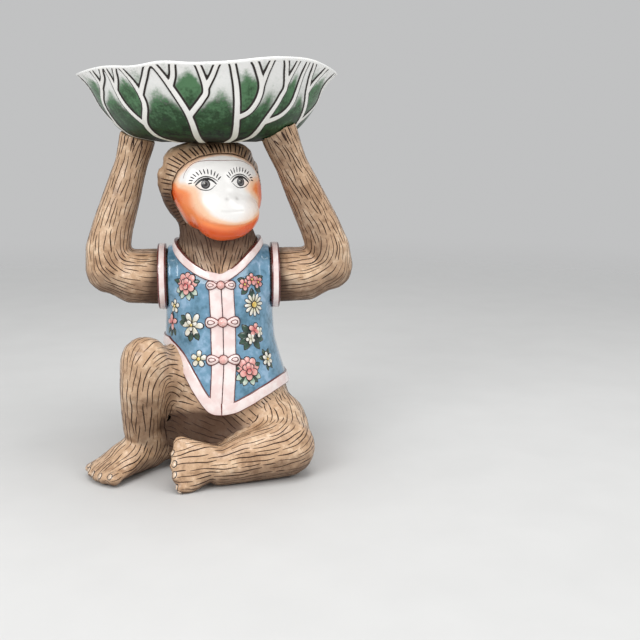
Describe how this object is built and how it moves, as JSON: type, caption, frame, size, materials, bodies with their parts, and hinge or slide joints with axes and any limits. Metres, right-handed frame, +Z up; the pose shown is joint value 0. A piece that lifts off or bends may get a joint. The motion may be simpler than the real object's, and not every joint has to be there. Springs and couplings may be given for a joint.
{
  "type": "ceramic monkey figurine",
  "caption": "Seated glazed ceramic monkey in a flowered vest with frog closures, its arms raised to carry a ruffled leaf bowl on its head.",
  "frame": {"origin": "centre of the figure's box, on the plane it stands on", "axes": "+Z up, the monkey faces -Y, its own right side is at -X"},
  "size_m": [0.2292, 0.208, 0.3376],
  "materials": {
    "fur_glaze": "clear gloss glaze over hand-painted colours",
    "face_glaze": "clear gloss glaze over hand-painted colours",
    "vest_glaze": "clear gloss glaze over hand-painted colours",
    "trim_glaze": "clear gloss glaze over hand-painted colours",
    "button_glaze": "clear gloss glaze over hand-painted colours",
    "leaf_glaze": "clear gloss glaze over hand-painted colours"
  },
  "bodies": {
    "root": {"trunk": "fur_glaze", "vest": "vest_glaze", "neck_band": "trim_glaze", "hem_band": "trim_glaze", "right_front_band": "trim_glaze", "right_armhole_band": "trim_glaze", "left_front_band": "trim_glaze", "left_armhole_band": "trim_glaze", "top_frog_right_loop": "trim_glaze", "top_frog_left_loop": "trim_glaze", "middle_frog_right_loop": "trim_glaze", "middle_frog_left_loop": "trim_glaze", "bottom_frog_right_loop": "trim_glaze", "bottom_frog_left_loop": "trim_glaze", "top_frog_button": "button_glaze", "middle_frog_button": "button_glaze", "bottom_frog_button": "button_glaze", "head_hood": "fur_glaze", "face": "face_glaze", "right_arm": "fur_glaze", "left_arm": "fur_glaze", "right_leg": "fur_glaze", "left_leg": "fur_glaze", "leaf_bowl": "leaf_glaze"}
  },
  "joints": []
}
